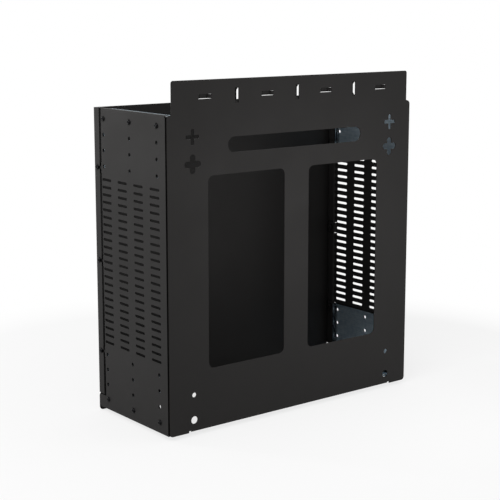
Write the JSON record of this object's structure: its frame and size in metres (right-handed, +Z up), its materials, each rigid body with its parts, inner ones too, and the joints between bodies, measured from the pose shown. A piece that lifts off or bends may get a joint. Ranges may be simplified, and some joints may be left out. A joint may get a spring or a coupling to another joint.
{
  "type": "wall mount network cabinet",
  "caption": "Low folded-steel wall cabinet for rack equipment hung upright: windowed back plate, vented side panels, bare metal rack rails, pull-off front cover, open top and bottom",
  "frame": {"origin": "under the middle of the cabinet, level with the lower edge of the front cover", "axes": "+Z up along the back plate, +Y from the room to the wall, X across the cabinet; the front cover faces -Y"},
  "size_m": [0.5048, 0.203, 0.547],
  "materials": {
    "powder_coat": "matte black powder coat",
    "zinc_rail": "blue-passivated zinc on steel sheet",
    "black_screw": "black oxide steel",
    "zinc_nut": "zinc plated steel"
  },
  "bodies": {
    "cabinet": {"back_plate": "powder_coat", "side_panel_right": "powder_coat", "side_panel_left": "powder_coat", "rail_top_right": "zinc_rail", "rail_top_left": "zinc_rail", "rail_bottom_right": "zinc_rail", "rail_bottom_left": "zinc_rail", "rail_screws_top_right": "black_screw", "rail_screws_top_left": "black_screw", "rail_screws_bottom_right": "black_screw", "rail_screws_bottom_left": "black_screw", "rail_nuts_top_right": "zinc_nut", "rail_nuts_top_left": "zinc_nut", "rail_nuts_bottom_right": "zinc_nut", "rail_nuts_bottom_left": "zinc_nut", "cover_screws_right": "black_screw", "cover_screws_left": "black_screw", "cover_nuts_right": "powder_coat", "cover_nuts_left": "powder_coat"},
    "cover": {"front_cover": "powder_coat"}
  },
  "joints": [
    {"name": "cover_pull", "type": "slide", "parent": "cabinet", "child": "cover", "axis": [0, -1, 0], "range_m": [0, 0.25]}
  ]
}
